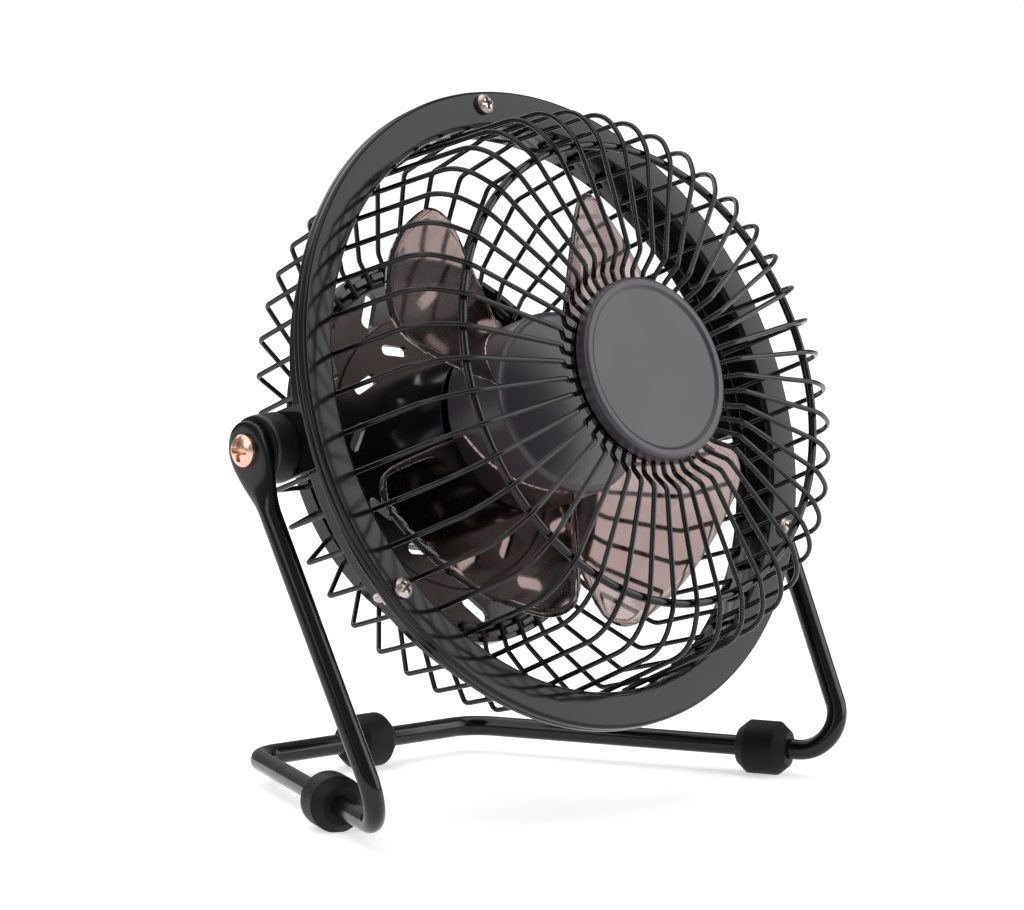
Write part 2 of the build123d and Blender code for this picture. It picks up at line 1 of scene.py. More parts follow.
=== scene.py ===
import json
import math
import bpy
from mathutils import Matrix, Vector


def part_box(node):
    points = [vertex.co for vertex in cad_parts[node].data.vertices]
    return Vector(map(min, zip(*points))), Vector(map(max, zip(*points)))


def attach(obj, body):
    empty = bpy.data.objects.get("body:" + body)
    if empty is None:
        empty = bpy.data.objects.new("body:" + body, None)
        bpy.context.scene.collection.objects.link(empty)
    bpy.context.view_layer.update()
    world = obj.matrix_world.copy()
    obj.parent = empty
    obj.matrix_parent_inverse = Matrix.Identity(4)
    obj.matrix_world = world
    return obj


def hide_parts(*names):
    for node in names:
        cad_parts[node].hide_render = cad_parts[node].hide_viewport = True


bl_info = {
    "name": "Desk Fan Pieces",
    "version": (1, 0, 0),
    "blender": (4, 5, 0),
    "location": "View3D > Sidebar > Desk Fan",
    "description": "Builds a small wire-caged desk fan, piece by piece, over its packed frame",
    "category": "Object",
}

import bmesh
import bpy
from mathutils import Matrix, Vector

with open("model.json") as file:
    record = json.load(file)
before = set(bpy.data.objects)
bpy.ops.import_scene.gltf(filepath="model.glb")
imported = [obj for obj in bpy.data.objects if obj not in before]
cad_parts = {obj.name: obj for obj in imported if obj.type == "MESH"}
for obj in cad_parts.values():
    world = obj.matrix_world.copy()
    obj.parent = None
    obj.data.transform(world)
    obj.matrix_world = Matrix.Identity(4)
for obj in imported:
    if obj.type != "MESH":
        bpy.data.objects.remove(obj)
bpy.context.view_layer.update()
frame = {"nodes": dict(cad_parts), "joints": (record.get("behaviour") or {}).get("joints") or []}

MM = 0.001
JOINTS = {j["name"]: j for j in frame["joints"]}

# The stand's corners in millimetres, half widths across and places behind the pivots, and the rod's height.
FRONT_X, FRONT_Y = 69.7, -38.5
REAR_X, REAR_Y = 32.7, 44.2
ROD_Z = 5.8
EAR_X = 73.1

# The head's own axes: X across, Y up the ring, Z forward along the fan's axis, from the pivot's middle.
PIVOT = Vector(JOINTS["head_tilt"]["pos_m"])
ACROSS = Vector(JOINTS["head_tilt"]["axis"]).normalized()
FORWARD = Vector(JOINTS["wheel_spin"]["axis"]).normalized()
HEAD = Matrix.Translation(PIVOT) @ Matrix((ACROSS, FORWARD.cross(ACROSS), FORWARD)).transposed().to_4x4()


def half_width(name):
    """Half of a part's width across the fan, in millimetres."""
    low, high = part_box(name)
    return (high.x - low.x) / 2 / MM


def middle(name):
    """Middle of a part's box."""
    low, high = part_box(name)
    return (low + high) / 2


def length(label, text, value):
    """A size in millimetres, kept in metres as Blender's lengths are."""
    return bpy.props.FloatProperty(name=label, description=text, default=value * MM, min=0.0, precision=5,
                                   subtype="DISTANCE", unit="LENGTH")


def srgb(code):
    """Linear colour of an sRGB hex code."""
    parts = [int(code[i:i + 2], 16) / 255 for i in (1, 3, 5)]
    return [p / 12.92 if p <= 0.04045 else ((p + 0.055) / 1.055) ** 2.4 for p in parts] + [1.0]


def tint(label, text, code):
    """A colour that a user may change."""
    return bpy.props.FloatVectorProperty(name=label, description=text, default=srgb(code), size=4, min=0.0,
                                         max=1.0, subtype="COLOR")


def turn(label, text, value):
    return bpy.props.FloatProperty(name=label, description=text, default=math.radians(value), subtype="ANGLE",
                                   unit="ROTATION")


class StandSizes(bpy.types.PropertyGroup):
    """Sizes of the bent-rod stand and its feet."""
    rod: length("Rod radius", "Radius of the stand's steel rod", 2.25)
    ear: length("Ear radius", "Radius of the flattened rod end around each pivot screw", 6.0)
    ear_sheet: length("Ear thickness", "Thickness of the flattened rod end", 2.2)
    front_bend: length("Front bend", "Bend radius where the uprights meet the base", 8.0)
    rear_bend: length("Rear bend", "Bend radius at the rear corners of the base", 9.0)
    foot: length("Foot radius", "Radius of each rubber foot", 6.0)
    foot_length: length("Foot length", "Length of each rubber foot along the rod", 11.6)


class CageSizes(bpy.types.PropertyGroup):
    """Sizes of the flange rings and the wire guards."""
    ring: length("Flange radius", "Outside radius of the flange", half_width("front_ring"))
    opening: length("Opening radius", "Inside radius of the flange", 62.0)
    sheet: length("Sheet thickness", "Thickness of both pressed rings", 0.9)
    face: length("Flange face", "Front face of the flange ahead of the pivots", 17.5)
    seam: length("Seam", "Joint between the front and rear rings ahead of the pivots", 15.7)
    wires: bpy.props.IntProperty(name="Radial wires", description="Number of radial wires in each guard",
                                 default=46, min=3)
    wire: length("Wire radius", "Radius of the radial wires", 0.55)
    ring_wire: length("Ring wire radius", "Radius of the round ring wires", 0.9)
    front_phase: turn("Front clocking", "Turn of the first front wire from the crosswise line", 1.4)
    rear_phase: turn("Rear clocking", "Turn of the first rear wire from the crosswise line", -1.2)
    cap: length("Cap radius", "Radius of the solid cap on the front guard", half_width("front_cap"))
    screw_circle: length("Screw circle", "Radius of the circle of flange screws", 66.9)
    screws: bpy.props.IntProperty(name="Flange screws", description="Number of flange screws", default=3,
                                  min=2)


class WheelSizes(bpy.types.PropertyGroup):
    """Sizes of the fan wheel."""
    blades: bpy.props.IntProperty(name="Blades", description="Number of blades", default=4, min=2)
    tip: length("Blade tip radius", "Radius of the wheel at the blade tips", 50.0)
    hub: length("Hub radius", "Outside radius of the hub", 20.0)
    blade: length("Blade thickness", "Thickness at the middle of a blade", 1.2)
    ribs: bpy.props.IntProperty(name="Hub ribs", description="Stiffening ribs inside the hub", default=8,
                                min=3)
    clocking: turn("Blade clocking", "Turn of the first blade from the top of the ring", 41.5)


class Finishes(bpy.types.PropertyGroup):
    """Colours of the main finishes."""
    enamel: tint("Enamel", "Gloss stoving enamel on the rod, wires and rings", "#0b090c")
    panel: tint("Panel enamel", "Gloss enamel on the flange", "#131014")
    satin: tint("Satin paint", "Satin paint on the cap", "#2a262c")
    rubber: tint("Rubber", "Moulded rubber of the feet", "#0a080c")
    smoke: tint("Smoke tint", "Colour seen through the blades", "#988682")
    hub: tint("Hub", "Deep smoke of the thick hub", "#322e34")
    abs: tint("Black plastic", "Moulded black plastic", "#0c0a0d")
    zinc: tint("Zinc", "Yellow passivated zinc on the pivot screws", "#e6c6b4")
    nickel: tint("Nickel", "Nickel plate on the flange screws", "#bdb3ad")


GROUPS = (StandSizes, CageSizes, WheelSizes, Finishes)
SETTINGS = {StandSizes: "fan_stand", CageSizes: "fan_cage", WheelSizes: "fan_wheel_sizes",
            Finishes: "fan_finishes"}


# ------------------------------------------------------------------ nodes and materials
def node(tree, kind, settings=None, inputs=None):
    """Add one node, with its settings and with a value or a link on each input that is given."""
    made = tree.nodes.new(kind)
    for key, value in (settings or {}).items():
        setattr(made, key, value)
    for key, value in (inputs or {}).items():
        if isinstance(value, bpy.types.NodeSocket):
            tree.links.new(value, made.inputs[key])
        else:
            made.inputs[key].default_value = value
    return made


def finish(name, colour, second, roughness, grain, depth, patch=6.0, spread=0.06, **sockets):
    """A material: two near colours in broad patches, roughness that wanders by the spread, and a fine relief.

    The grain and the patches are sizes in millimetres, and the depth is the height of the relief. The name
    must differ from the packed frame's own plain materials, which are already loaded.
    """
    if name in bpy.data.materials:
        return bpy.data.materials[name]
    material = bpy.data.materials.new(name)
    material.use_nodes = True
    tree = material.node_tree
    shader = tree.nodes["Principled BSDF"]
    place = node(tree, "ShaderNodeTexCoord").outputs["Object"]
    broad = node(tree, "ShaderNodeTexNoise", inputs={"Vector": place, "Scale": 1000 / patch, "Detail": 3.0})
    fine = node(tree, "ShaderNodeTexNoise", inputs={"Vector": place, "Scale": 1000 / grain, "Detail": 2.0})
    mixed = node(tree, "ShaderNodeMix", {"data_type": "RGBA"},
                 {"Factor": broad.outputs["Fac"], "A": colour, "B": second})
    rough = node(tree, "ShaderNodeMapRange", inputs={
        "Value": broad.outputs["Fac"], "From Min": 0.3, "From Max": 0.7,
        "To Min": max(roughness - spread, 0.02), "To Max": roughness + spread})
    relief = node(tree, "ShaderNodeBump", inputs={"Height": fine.outputs["Fac"], "Strength": 1.0,
                                                  "Distance": depth * MM})
    tree.links.new(mixed.outputs["Result"], shader.inputs["Base Color"])
    tree.links.new(rough.outputs["Result"], shader.inputs["Roughness"])
    tree.links.new(relief.outputs["Normal"], shader.inputs["Normal"])
    for key, value in sockets.items():
        shader.inputs[key.replace("_", " ")].default_value = value
    material.diffuse_color = colour
    return material


def finishes():
    return bpy.context.scene.fan_finishes


def stoving_enamel():
    # Gloss stoving enamel, dipped and baked: near black, with crisp bright lines and a faint orange peel.
    return finish("stoving_enamel", finishes().enamel, srgb("#0d0b0f"), 0.13, 1.4, 0.004, spread=0.03,
                  Specular_IOR_Level=0.32)


def gloss_enamel():
    # Flat sheet sprayed with gloss enamel: a dark mirror that doubles the wires next to it.
    return finish("gloss_enamel", finishes().panel, srgb("#141116"), 0.12, 1.8, 0.003, 12.0, 0.03,
                  Specular_IOR_Level=0.22)


def satin_paint():
    # Sprayed satin paint on pressed steel: a wide grey sheen that hides the sheet's small dents.
    return finish("satin_paint", finishes().satin, srgb("#312c33"), 0.4, 0.5, 0.006, 14.0, 0.04)


def moulded_rubber():
    # Moulded nitrile rubber: dull, with a fine dusty grain.
    return finish("moulded_rubber", finishes().rubber, srgb("#0f0c11"), 0.55, 0.35, 0.015, 3.0,
                  Specular_IOR_Level=0.2)


def textured_abs():
    # Spark-eroded mould texture on black ABS: a soft sheen broken by a fine grain.
    return finish("textured_abs", finishes().abs, srgb("#141115"), 0.46, 0.3, 0.015, 5.0)


def polished_abs():
    # Polished-mould black ABS: clear reflections with a trace of sink and flow.
    return finish("polished_abs", finishes().abs, srgb("#100e12"), 0.2, 2.5, 0.006, 9.0, 0.04)


def smoke_styrene():
    # Smoke-tinted transparent polystyrene: the light that passes turns warm grey, the surface stays glossy.
    return finish("smoke_styrene", finishes().smoke, srgb("#927f7b"), 0.06, 5.0, 0.0005, 12.0, 0.02,
                  Transmission_Weight=1.0, IOR=1.5)


def deep_smoke():
    # The same smoke plastic where it is thick and lies over the black motor: closed, dark grey and softly shiny.
    return finish("deep_smoke", finishes().hub, srgb("#3b363d"), 0.3, 3.0, 0.002, 10.0, 0.04)


def yellow_zinc():
    # Yellow passivated zinc plate: a pale rosy gold that drifts towards copper in small patches.
    return finish("passivated_zinc", finishes().zinc, srgb("#d5a287"), 0.24, 0.25, 0.002, 0.8, 0.06,
                  Metallic=1.0)


def nickel_plate():
    # Bright nickel plate on cold-headed steel: warm silver with fine tumbling marks.
    return finish("tumbled_nickel", finishes().nickel, srgb("#aca29c"), 0.3, 0.2, 0.0008, 1.0, 0.05,
                  Metallic=1.0)


def drawn_steel():
    # Drawn and ground steel: cool grey metal with a fine drag.
    return finish("drawn_steel", srgb("#a9a9ab"), srgb("#8f8f92"), 0.3, 0.15, 0.003, 1.5, 0.08, Metallic=1.0)


def sintered_bronze():
    # Sintered bronze: porous brown metal, dark with oil.
    return finish("oiled_bronze", srgb("#8b6a45"), srgb("#6d5033"), 0.5, 0.12, 0.02, 0.8, 0.1, Metallic=1.0)


def enamelled_copper():
    # Enamelled copper wire: turns lie side by side at 0.25 mm under a clear varnish.
    return finish("enamelled_copper", srgb("#b5613a"), srgb("#964a2a"), 0.3, 0.25, 0.05, 1.2, 0.06,
                  Metallic=1.0, Coat_Weight=0.5)


def ferrite():
    # Pressed ferrite magnet: charcoal ceramic with a stony grain.
    return finish("pressed_ferrite", srgb("#3a3a3d"), srgb("#2c2c2f"), 0.6, 0.2, 0.02, 1.5)


def carbon_brush():
    # Pressed carbon and graphite: black with a metallic dust.
    return finish("carbon_brush", srgb("#1d1d1f"), srgb("#2e2e31"), 0.5, 0.1, 0.01, 0.6)


def solder_mask():
    # Green solder mask over glass-epoxy laminate: glossy, with the weave's faint ripple at 0.6 mm.
    return finish("solder_mask", srgb("#17553a"), srgb("#1d6342"), 0.25, 0.6, 0.01, 4.0)


def red_pvc():
    # Extruded red PVC insulation: even colour with a soft gloss.
    return finish("red_pvc", srgb("#9a1f1b"), srgb("#84201c"), 0.38, 0.8, 0.01, 3.0)


def black_pvc():
    # Extruded black PVC insulation.
    return finish("black_pvc", srgb("#151316"), srgb("#1e1b1f"), 0.4, 0.8, 0.01, 3.0)


def white_laminate():
    # White laminate lit as evenly as a light table: shadows stay faint under the fan.
    return finish("white_laminate", srgb("#dcdadc"), srgb("#deddde"), 0.6, 1.0, 0.001, 60.0,
                  Specular_IOR_Level=0.2, Emission_Color=srgb("#ffffff"), Emission_Strength=0.56)


# ------------------------------------------------------------------ shapes
def rounded(corners, steps=4, closed=True):
    """Points of an outline whose corners, given as (x, y, bend radius), are rounded by true arcs."""
    points = []
    last = len(corners) - 1
    for i, (x, y, bend) in enumerate(corners):
        here = Vector((x, y))
        if bend <= 0 or (not closed and i in (0, last)):
            points.append(here)
            continue
        back = Vector(corners[i - 1][:2]) - here
        ahead = Vector(corners[(i + 1) % len(corners)][:2]) - here
        half = back.angle(ahead) / 2
        reach = min(bend / math.tan(half), 0.499 * back.length, 0.499 * ahead.length)
        bend = reach * math.tan(half)
        centre = here + (back.normalized() + ahead.normalized()).normalized() * bend / math.sin(half)
        start = here + back.normalized() * reach - centre
        sweep = start.angle_signed(here + ahead.normalized() * reach - centre)
        for k in range(steps + 1):
            a = -sweep * k / steps
            points.append(centre + Vector((start.x * math.cos(a) - start.y * math.sin(a),
                                           start.x * math.sin(a) + start.y * math.cos(a))))
    return [tuple(p) for p in points]


def circle_profile(radius, height, wire, sides=20):
    """Outline of a round wire that is turned into a ring."""
    return [(radius + wire * math.cos(math.tau * i / sides), height + wire * math.sin(math.tau * i / sides))
            for i in range(sides)]


def turned(profile, segments=128):
    """Vertices and faces of a closed (radius, height) outline turned about Z."""
    verts, rings, faces = [], [], []
    for radius, height in profile:
        count = 1 if abs(radius) < 1e-6 else segments
        rings.append([len(verts) + i for i in range(count)])
        verts += [(radius * math.cos(math.tau * i / segments), radius * math.sin(math.tau * i / segments),
                   height) for i in range(count)]
    for low, high in zip(rings, rings[1:] + rings[:1]):
        if len(low) == 1 and len(high) == 1:
            continue
        for i in range(segments):
            j = (i + 1) % segments
            corners = [low[i % len(low)], low[j % len(low)], high[j % len(high)], high[i % len(high)]]
            faces.append(list(dict.fromkeys(corners)))
    return verts, faces


def mesh_from(name, verts, faces, place=Matrix(), sharp=35.0):
    """A mesh from points in millimetres, put in place, closed, outward and smooth up to a corner's angle."""
    mesh = bpy.data.meshes.new(name)
    mesh.from_pydata([tuple(v) for v in verts], [], faces)
    return settled(mesh, place @ Matrix.Scale(MM, 4), sharp)


def settled(mesh, place, sharp=35.0):
    """Move a mesh to its place, merge its doubles, turn its faces outwards and set its smooth shading."""
    mesh.transform(place)
    work = bmesh.new()
    work.from_mesh(mesh)
    bmesh.ops.remove_doubles(work, verts=work.verts, dist=1e-7)
    bmesh.ops.recalc_face_normals(work, faces=work.faces)
    work.to_mesh(mesh)
    work.free()
    mesh.shade_smooth()
    mesh.set_sharp_from_angle(angle=math.radians(sharp))
    return mesh


def piece(mesh, material, body, slot, *nodes):
    """A finished piece that rides on a body, takes the given finish and stands for CAD nodes. The slot is not
    used.
    """
    made = bpy.data.objects.new(mesh.name, mesh)
    bpy.context.scene.collection.objects.link(made)
    mesh.materials.clear()
    mesh.materials.append(material)
    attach(made, body)
    if nodes:
        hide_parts(*nodes)
    return made


def dress(material, *names):
    """Give CAD parts that stay as they are their finish."""
    for name in names:
        for place in frame["nodes"][name].material_slots:
            place.material = material


def baked(name, mesh, tree=None, inputs=None, bevel=0.0):
    """Run a mesh through a Geometry Nodes tree, or through a small bevel, and give back the plain mesh."""
    carrier = bpy.data.objects.new(name, mesh)
    bpy.context.scene.collection.objects.link(carrier)
    if tree:
        modifier = carrier.modifiers.new("shape", "NODES")
        modifier.node_group = tree
        for item in tree.interface.items_tree:
            if item.item_type == "SOCKET" and item.in_out == "INPUT" and item.name in inputs:
                modifier[item.identifier] = inputs[item.name]
    if bevel:
        modifier = carrier.modifiers.new("edges", "BEVEL")
        modifier.width, modifier.segments = bevel * MM, 2
        modifier.limit_method, modifier.angle_limit = "ANGLE", math.radians(40)
    bpy.context.view_layer.update()
    shown = carrier.evaluated_get(bpy.context.evaluated_depsgraph_get())
    plain = bpy.data.meshes.new_from_object(shown)
    plain.name = name
    bpy.data.objects.remove(carrier)
    return plain


def softened(name, source, material, body, slot, width=0.25):
    """A CAD part's own shape with its sharp edges rounded over, as a mould or press leaves them."""
    mesh = frame["nodes"][source].data.copy()
    work = bmesh.new()
    work.from_mesh(mesh)
    bmesh.ops.remove_doubles(work, verts=work.verts, dist=2e-6)
    bmesh.ops.dissolve_limit(work, angle_limit=math.radians(0.5), verts=work.verts, edges=work.edges)
    clean = bpy.data.meshes.new(name)
    work.to_mesh(clean)
    work.free()
    bpy.data.meshes.remove(mesh)
    flat_edge = 20.0    # under the bevel's first step, so that a flat face keeps its own flat shading
    return piece(settled(baked(name, clean, bevel=width), Matrix(), flat_edge), material, body, slot, source)


def socket(tree, name, kind, side="INPUT"):
    return tree.interface.new_socket(name=name, in_out=side, socket_type=kind)


def ring_tree():
    """Geometry Nodes: copies of a shape, or of a wire bent along its points, set in a ring about Z."""
    name = "set_in_a_ring"
    if name in bpy.data.node_groups:
        return bpy.data.node_groups[name]
    tree = bpy.data.node_groups.new(name, "GeometryNodeTree")
    for label, kind in (("Geometry", "Geometry"), ("Count", "Int"), ("First Angle", "Float"),
                        ("Circle", "Float"), ("Height", "Float"), ("Wire Radius", "Float"),
                        ("Wire Sides", "Int"), ("As Wire", "Bool"), ("Material", "Material")):
        socket(tree, label, "NodeSocket" + kind)
    socket(tree, "Geometry", "NodeSocketGeometry", "OUTPUT")
    given = node(tree, "NodeGroupInput").outputs

    bends = node(tree, "GeometryNodeInputNamedAttribute", {"data_type": "FLOAT"}, {"Name": "bend"})
    line = node(tree, "GeometryNodeMeshToCurve", inputs={"Mesh": given["Geometry"]})
    bent = node(tree, "GeometryNodeFilletCurve", {"mode": "POLY"},
                {"Curve": line.outputs["Curve"], "Count": 7, "Radius": bends.outputs["Attribute"],
                 "Limit Radius": True})
    section = node(tree, "GeometryNodeCurvePrimitiveCircle",
                   inputs={"Resolution": given["Wire Sides"], "Radius": given["Wire Radius"]})
    tube = node(tree, "GeometryNodeCurveToMesh", inputs={
        "Curve": bent.outputs["Curve"], "Profile Curve": section.outputs["Curve"], "Fill Caps": True})
    chosen = node(tree, "GeometryNodeSwitch", {"input_type": "GEOMETRY"},
                  {"Switch": given["As Wire"], "False": given["Geometry"], "True": tube.outputs["Mesh"]})

    out = node(tree, "ShaderNodeCombineXYZ", inputs={"X": given["Circle"], "Z": given["Height"]})
    placed = node(tree, "GeometryNodeTransform", inputs={
        "Geometry": chosen.outputs["Output"], "Translation": out.outputs["Vector"]})
    points = node(tree, "GeometryNodeMeshLine", inputs={"Count": given["Count"], "Offset": (0.0, 0.0, 0.0)})
    index = node(tree, "GeometryNodeInputIndex")
    pitch = node(tree, "ShaderNodeMath", {"operation": "DIVIDE"}, {0: math.tau, 1: given["Count"]})
    angle = node(tree, "ShaderNodeMath", {"operation": "MULTIPLY_ADD"},
                 {0: index.outputs["Index"], 1: pitch.outputs["Value"], 2: given["First Angle"]})
    turned_by = node(tree, "ShaderNodeCombineXYZ", inputs={"Z": angle.outputs["Value"]})
    copies = node(tree, "GeometryNodeInstanceOnPoints", inputs={
        "Points": points.outputs["Mesh"], "Instance": placed.outputs["Geometry"],
        "Rotation": turned_by.outputs["Vector"]})
    real = node(tree, "GeometryNodeRealizeInstances", inputs={"Geometry": copies.outputs["Instances"]})
    coloured = node(tree, "GeometryNodeSetMaterial",
                    inputs={"Geometry": real.outputs["Geometry"], "Material": given["Material"]})
    node(tree, "NodeGroupOutput", inputs={"Geometry": coloured.outputs["Geometry"]})
    return tree


def in_a_ring(name, mesh, material, count, first, circle=0.0, height=0.0, wire=0.0, sides=14, place=HEAD,
              sharp=35.0):
    """Copies of a mesh, in metres about its own origin, set in a ring about the head's axis."""
    plain = baked(name, mesh, ring_tree(), {
        "Count": count, "First Angle": first, "Circle": circle, "Height": height, "Wire Radius": wire,
        "Wire Sides": sides, "As Wire": wire > 0, "Material": material})
    return settled(plain, place, sharp)


def bent_wire(corners):
    """Centre line of one wire in the profile plane, from (radius, height, bend) corners in millimetres."""
    line = bpy.data.meshes.new("centre_line")
    edges = [(i, i + 1) for i in range(len(corners) - 1)]
    line.from_pydata([(r * MM, 0, w * MM) for r, w, bend in corners], edges, [])
    bends = line.attributes.new("bend", "FLOAT", "POINT")
    for i, (r, w, bend) in enumerate(corners):
        bends.data[i].value = bend * MM
    return line


def pan_screw(name, radius, height, shank, depth, arm, slit, crown=0.5, pitch=0.5):
    """A cross-recessed screw on Z, in metres: head from 0 up, threaded shank from 0 down."""
    steps = 18
    top = [(radius * i / steps, height - (1 - crown) * height * (i / steps) ** 3.2) for i in range(steps + 1)]
    edge = top[-1][1]
    top = top[:-1] + [(radius * 0.985, edge + 0.04 * height), (radius, edge - 0.12 * height),
                      (radius, 0.12 * height), (radius * 0.97, 0)]
    threads = []
    turns = max(int(depth / pitch) - 1, 1)
    for i in range(turns):
        z = -pitch * (i + 0.4)
        threads += [(shank, z), (shank * 0.86, z - pitch * 0.5)]
    profile = top + [(shank * 0.9, -0.02)] + threads + [(shank * 0.7, -depth), (0, -depth)]
    verts, faces = turned(profile, 96)
    shaped = []
    for x, y, z in verts:
        if z > 0.2 * edge and math.hypot(x, y) < radius * 0.93:
            along, off = max(abs(x), abs(y)), min(abs(x), abs(y))
            side = min(max((slit / 2 - off) / 0.12 + 0.5, 0), 1)
            end = min(max((arm / 2 - along) / 0.25 + 0.5, 0), 1)
            middle_pit = min(max((slit * 0.95 - math.hypot(x, y)) / 0.15 + 0.5, 0), 1)
            z -= max(side * end, middle_pit) * min(0.62 * height, 1.2)
        shaped.append((x * MM, y * MM, z * MM))
    mesh = bpy.data.meshes.new(name)
    mesh.from_pydata(shaped, [], faces)
    return mesh


def bent_path(corners, bends, steps=10):
    """Points along a line with rounded corners."""
    points = [corners[0]]
    for before, here, after, bend in zip(corners, corners[1:], corners[2:], bends):
        back, ahead = (before - here).normalized(), (after - here).normalized()
        half = back.angle(ahead) / 2
        centre = here + (back + ahead).normalized() * bend / math.sin(half)
        start = here + back * bend / math.tan(half) - centre
        end = here + ahead * bend / math.tan(half) - centre
        points += [centre + start.slerp(end, k / steps).normalized() * bend for k in range(steps + 1)]
    return points + [corners[-1]]


class FAN_OT_stage(bpy.types.Operator):
    """Set the floor, the studio light and the camera"""
    bl_idname = "fan.stage"
    bl_label = "Stage"
    bl_options = {"REGISTER", "UNDO"}

    def execute(self, context):
        scene = context.scene
        scene.view_settings.view_transform = "Standard"

        azimuth, elevation, roll = math.radians(-44.293), math.radians(5.924), 0.011
        back = Vector((math.sin(azimuth) * math.cos(elevation), -math.cos(azimuth) * math.cos(elevation),
                       math.sin(elevation)))
        right = Vector((math.cos(azimuth), math.sin(azimuth), 0))
        up = back.cross(right)
        right, up = (right * math.cos(roll) + up * math.sin(roll),
                     up * math.cos(roll) - right * math.sin(roll))
        data = bpy.data.cameras.new("camera")
        data.lens, data.sensor_width, data.shift_x, data.shift_y = 163.13, 36.0, 0.00476, -0.0273
        data.clip_start, data.clip_end = 0.05, 60.0
        camera = bpy.data.objects.new("camera", data)
        camera.matrix_world = (Matrix.Translation(PIVOT + back * 0.9948)
                               @ Matrix((right, up, back)).transposed().to_4x4())
        scene.collection.objects.link(camera)
        scene.camera = camera

        # Smooth white laminate, so evenly lit that only the contact shadows show.
        floor_mesh = bpy.data.meshes.new("floor")
        corners = [(x * 9.0, y * 9.0, 0) for x, y in ((-1, -1), (1, -1), (1, 1), (-1, 1))]
        floor_mesh.from_pydata(corners, [], [(0, 1, 2, 3)])
        floor = bpy.data.objects.new("floor", floor_mesh)
        scene.collection.objects.link(floor)
        floor_mesh.materials.append(white_laminate())

        world = bpy.data.worlds.new("studio")
        scene.world = world
        world.use_nodes = True
        tree = world.node_tree
        path = node(tree, "ShaderNodeLightPath")
        seen = node(tree, "ShaderNodeMath", {"operation": "MAXIMUM"},
                    {0: path.outputs["Is Camera Ray"], 1: path.outputs["Is Transmission Ray"]})
        shade = node(tree, "ShaderNodeMix", {"data_type": "RGBA"},
                     {"Factor": seen.outputs["Value"], "A": (0.28, 0.28, 0.29, 1),
                      "B": (1.05, 1.04, 1.05, 1)})
        tree.links.new(shade.outputs["Result"], tree.nodes["Background"].inputs["Color"])

        sun = bpy.data.lights.new("overhead", "SUN")
        sun.energy, sun.angle = 1.8, math.radians(75)
        self.hang(scene, sun, Vector((-0.1, 0.12, 1.0)))
        for name, away, width, power in (("front_box", Vector((0.72, -0.68, 0.42)), 0.9, 7.5),
                                         ("side_box", Vector((-1.0, -0.1, 0.55)), 0.7, 3.0),
                                         ("rear_box", Vector((0.2, 1.1, 0.8)), 0.8, 3.0)):
            box = bpy.data.lights.new(name, "AREA")
            box.energy, box.size = power, width
            self.hang(scene, box, away)
        return {"FINISHED"}

    def hang(self, scene, light, away):
        """Place one light away from the fan, facing it."""
        holder = bpy.data.objects.new(light.name, light)
        holder.location = PIVOT + away
        holder.rotation_euler = away.to_track_quat("Z", "Y").to_euler()
        scene.collection.objects.link(holder)


